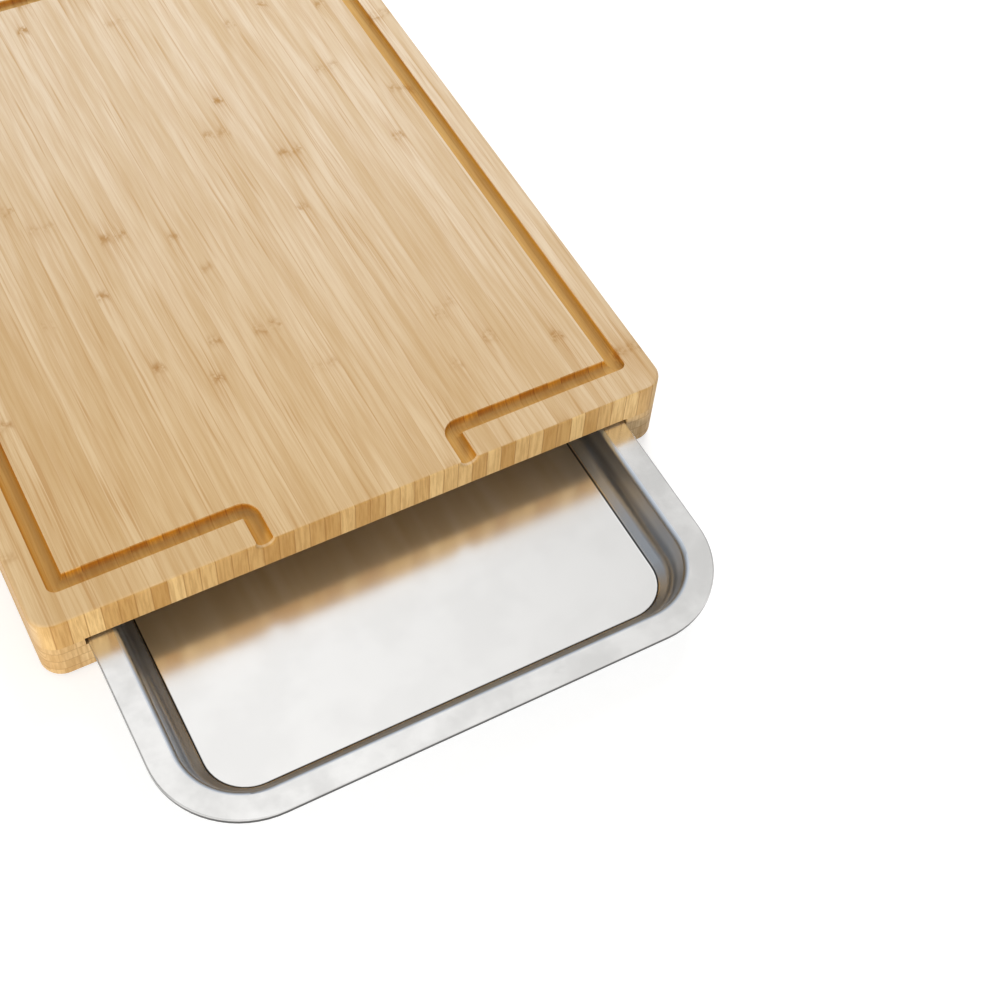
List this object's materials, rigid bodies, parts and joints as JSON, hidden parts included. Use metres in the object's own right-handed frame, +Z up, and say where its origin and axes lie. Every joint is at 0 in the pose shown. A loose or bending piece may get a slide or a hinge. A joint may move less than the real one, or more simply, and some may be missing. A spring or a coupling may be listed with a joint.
{
  "type": "cutting board with drawer tray",
  "caption": "Laminated bamboo cutting board on side runners, with a juice groove open at the front and a pressed steel drip tray that slides in and out underneath.",
  "frame": {"origin": "on the table, under the middle of the box round board and tray with the tray pulled out 107 mm", "axes": "+X to the right seen from the front, +Y from the front to the back, +Z up"},
  "size_m": [0.3, 0.497, 0.0415],
  "materials": {
    "bamboo_edge_grain": "oiled, satin",
    "bamboo_ply": "oiled, satin",
    "bamboo_pin": "plain",
    "foot_rubber": "matt",
    "screw_steel": "bright",
    "tray_steel": "satin, bright floor"
  },
  "bodies": {
    "board": {"cutting_panel": "bamboo_edge_grain", "left_slot_spacer": "bamboo_ply", "right_slot_spacer": "bamboo_ply", "rear_slot_spacer": "bamboo_ply", "left_runner": "bamboo_ply", "right_runner": "bamboo_ply", "rear_rail": "bamboo_ply", "left_dowels": "bamboo_pin", "right_dowels": "bamboo_pin", "rear_dowels": "bamboo_pin", "front_left_foot": "foot_rubber", "front_right_foot": "foot_rubber", "rear_left_foot": "foot_rubber", "rear_right_foot": "foot_rubber", "foot_screws": "screw_steel"},
    "tray": {"drip_tray": "tray_steel"}
  },
  "joints": [
    {"name": "tray_slide", "type": "slide", "parent": "board", "child": "tray", "axis": [0, -1, 0], "range_m": [-0.107, 0.223]}
  ]
}
